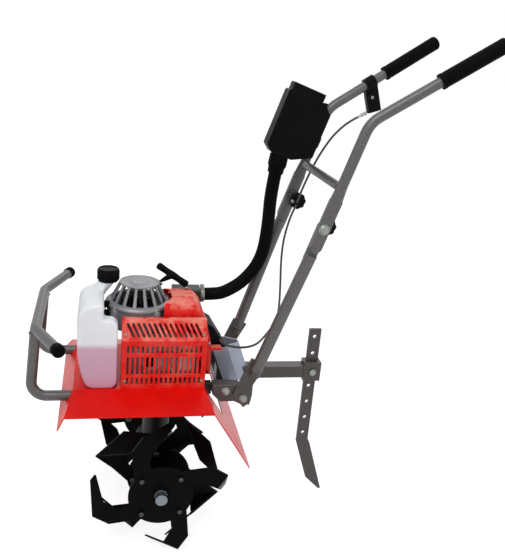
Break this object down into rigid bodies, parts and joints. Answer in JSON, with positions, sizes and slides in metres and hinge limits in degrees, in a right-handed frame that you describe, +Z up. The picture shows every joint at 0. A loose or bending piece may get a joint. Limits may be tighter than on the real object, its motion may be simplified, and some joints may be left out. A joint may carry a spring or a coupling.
{
  "type": "mini tiller",
  "caption": "Small walk-behind tiller with a two-stroke engine on a folded fender, a tined reel, a depth stake and folding handles.",
  "frame": {"origin": "floor point below the middle of the whole length, where the reel and the depth stake stand", "axes": "+X to the rear, +Y to the machine's right, +Z up"},
  "size_m": [0.8788, 0.4618, 1.0788],
  "materials": {
    "red_paint": "gloss",
    "red_plastic": "satin",
    "black_plastic": "satin",
    "black_rubber": "matte",
    "handle_paint": "satin",
    "dark_paint": "satin",
    "black_paint": "satin",
    "case_black": "satin",
    "engine_alloy": "matte",
    "muffler_steel": "satin",
    "cast_grey": "matte",
    "silver_sheet": "satin",
    "tank_plastic": "translucent",
    "tine_paint": "satin",
    "axle_steel": "satin",
    "zinc": "satin"
  },
  "bodies": {
    "root": {"gearbox": "case_black", "clutch_housing": "case_black", "fender": "red_paint", "frame_rails": "black_paint", "bumper_bar": "handle_paint", "bumper_leg_left": "handle_paint", "bumper_leg_right": "handle_paint", "bumper_caps": "black_rubber", "engine_block": "engine_alloy", "muffler": "muffler_steel", "engine_cover": "red_plastic", "recoil_cover": "cast_grey", "cooling_fan": "black_plastic", "starter_grip": "black_plastic", "engine_shroud": "red_plastic", "rear_cover": "black_plastic", "carburettor": "engine_alloy", "fuel_tank": "tank_plastic", "fuel_cap": "black_plastic", "tank_mounts": "black_rubber", "rear_bracket": "dark_paint", "rear_column": "silver_sheet", "drawbar": "dark_paint", "stake_sleeve": "dark_paint", "stake_clamp_bolt": "black_paint", "pivot_bolts": "zinc", "pivot_plate_left": "dark_paint", "pivot_plate_right": "dark_paint", "lower_tube_left": "handle_paint", "lower_tube_right": "handle_paint", "fold_bolts": "zinc", "fold_knobs": "black_plastic"},
    "reel": {"axle_shaft": "axle_steel", "tine_reel_left": "tine_paint", "tine_reel_right": "tine_paint"},
    "stake": {"depth_stake": "dark_paint"},
    "upper_handle": {"upper_tube_left": "handle_paint", "upper_tube_right": "handle_paint", "crossbar": "handle_paint", "grip_left": "black_rubber", "grip_right": "black_rubber", "air_cleaner_box": "black_plastic", "air_cleaner_lid": "black_plastic", "air_cleaner_clamp": "black_paint", "throttle_lever": "black_plastic", "intake_hose": "black_rubber", "throttle_cable": "black_rubber"}
  },
  "joints": [
    {"name": "reel_spin", "type": "hinge", "parent": "root", "child": "reel", "pos_m": [-0.17172, 0, 0.142], "axis": [0, -1, 0], "continuous": true},
    {"name": "stake_slide", "type": "slide", "parent": "root", "child": "stake", "axis": [0, 0, 1], "range_m": [-0.083, 0.1245]},
    {"name": "handle_fold", "type": "hinge", "parent": "root", "child": "upper_handle", "pos_m": [0.12293, 0, 0.69609], "axis": [0, 1, 0], "range_deg": [-110, 0], "deforming": ["intake_hose", "throttle_cable"]}
  ]
}
